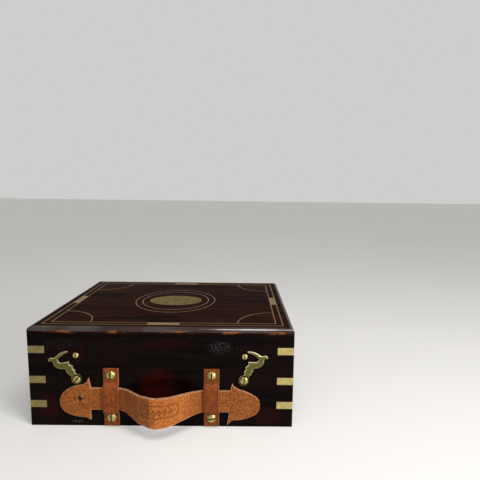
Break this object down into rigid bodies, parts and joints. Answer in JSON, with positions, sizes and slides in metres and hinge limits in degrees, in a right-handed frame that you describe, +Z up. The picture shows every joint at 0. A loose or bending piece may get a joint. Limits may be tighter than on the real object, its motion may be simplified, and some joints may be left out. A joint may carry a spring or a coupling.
{
  "type": "sextant box",
  "caption": "Shallow rosewood instrument box with inlaid hinged lid, brass corner straps, swinging front hooks and a sliding leather carrying strap with arrow-shaped ends.",
  "frame": {"origin": "centre of the bottom face of the box, with the case standing upright", "axes": "+X along the box's width to the viewer's right, +Y from the front to the hinged back, +Z up"},
  "size_m": [0.3, 0.2768, 0.117],
  "materials": {
    "rosewood": "deep gloss french polish over dark streaked rosewood",
    "bottom_wood": "plain oiled hardwood",
    "fitting_wood": "satin varnished mahogany",
    "strap_leather": "vegetable tanned, dry and mottled",
    "keeper_leather": "redder, darker vegetable tanned leather",
    "inlay_brass": "flush sanded, pale yellow, satin",
    "cast_brass": "antiqued casting with bright rubbed edges",
    "screw_brass": "turned, lightly tarnished",
    "fitting_brass": "drawn and filed, satin",
    "baize": "dark green wool baize"
  },
  "bodies": {
    "case": {"base_back": "rosewood", "base_baize": "baize", "base_bottom": "bottom_wood", "base_front": "rosewood", "base_left": "rosewood", "base_right": "rosewood", "base_straps_lower": "inlay_brass", "base_straps_upper": "inlay_brass", "foot_rests": "fitting_wood", "handle_rest": "fitting_wood", "hinge_leaf_base_left": "fitting_brass", "hinge_leaf_base_right": "fitting_brass", "hinge_pin_left": "fitting_brass", "hinge_pin_right": "fitting_brass", "hinge_screws_base": "fitting_brass", "hook_pivot_screws": "screw_brass", "keeper_left": "keeper_leather", "keeper_right": "keeper_leather", "keeper_screws_left": "screw_brass", "keeper_screws_right": "screw_brass", "telescope_rack": "fitting_wood", "turn_button_screw": "screw_brass"},
    "lid": {"border_insets": "inlay_brass", "border_line_inner": "inlay_brass", "border_line_outer": "inlay_brass", "catch_screws": "screw_brass", "corner_arcs": "inlay_brass", "hinge_leaf_lid_left": "fitting_brass", "hinge_leaf_lid_right": "fitting_brass", "hinge_screws_lid": "fitting_brass", "lid_back": "rosewood", "lid_baize": "baize", "lid_front": "rosewood", "lid_left": "rosewood", "lid_pads": "baize", "lid_panel": "rosewood", "lid_right": "rosewood", "lid_straps": "inlay_brass", "oval_plate": "inlay_brass", "oval_ring_inner": "inlay_brass", "oval_ring_outer": "inlay_brass"},
    "hook_left": {"hook_left": "cast_brass"},
    "hook_right": {"hook_right": "cast_brass"},
    "grip": {"grip": "strap_leather"},
    "strap_left_end": {"strap_left_end": "strap_leather"},
    "strap_right_end": {"strap_right_end": "strap_leather"},
    "turn_button": {"turn_button": "fitting_brass"}
  },
  "joints": [
    {"name": "lid_hinge", "type": "hinge", "parent": "case", "child": "lid", "pos_m": [0, 0.118, 0.0724], "axis": [-1, 0, 0], "range_deg": [0, 100]},
    {"name": "hook_left_swing", "type": "hinge", "parent": "case", "child": "hook_left", "pos_m": [-0.095, -0.1227, 0.057], "axis": [0, -1, 0], "range_deg": [-40.6, 49.6]},
    {"name": "hook_right_swing", "type": "hinge", "parent": "case", "child": "hook_right", "pos_m": [0.0938, -0.1227, 0.057], "axis": [0, 1, 0], "range_deg": [-28.5, 60.1]},
    {"name": "grip_pull", "type": "slide", "parent": "case", "child": "grip", "axis": [0, -1, 0], "range_m": [0, 0.009]},
    {"name": "strap_left_slide", "type": "slide", "parent": "grip", "child": "strap_left_end", "axis": [0.7071, 0.7071, 0], "range_m": [0, 0.01273]},
    {"name": "strap_right_slide", "type": "slide", "parent": "grip", "child": "strap_right_end", "axis": [-0.7071, 0.7071, 0], "range_m": [0, 0.01273]},
    {"name": "turn_button_swing", "type": "hinge", "parent": "case", "child": "turn_button", "pos_m": [-0.008, -0.014, 0.0375], "axis": [0, 0, 1], "range_deg": [0, 90]}
  ],
  "couplings": [
    {"joint": "strap_left_slide", "follows": "grip_pull", "ratio": 1.4142},
    {"joint": "strap_right_slide", "follows": "grip_pull", "ratio": 1.4142}
  ]
}
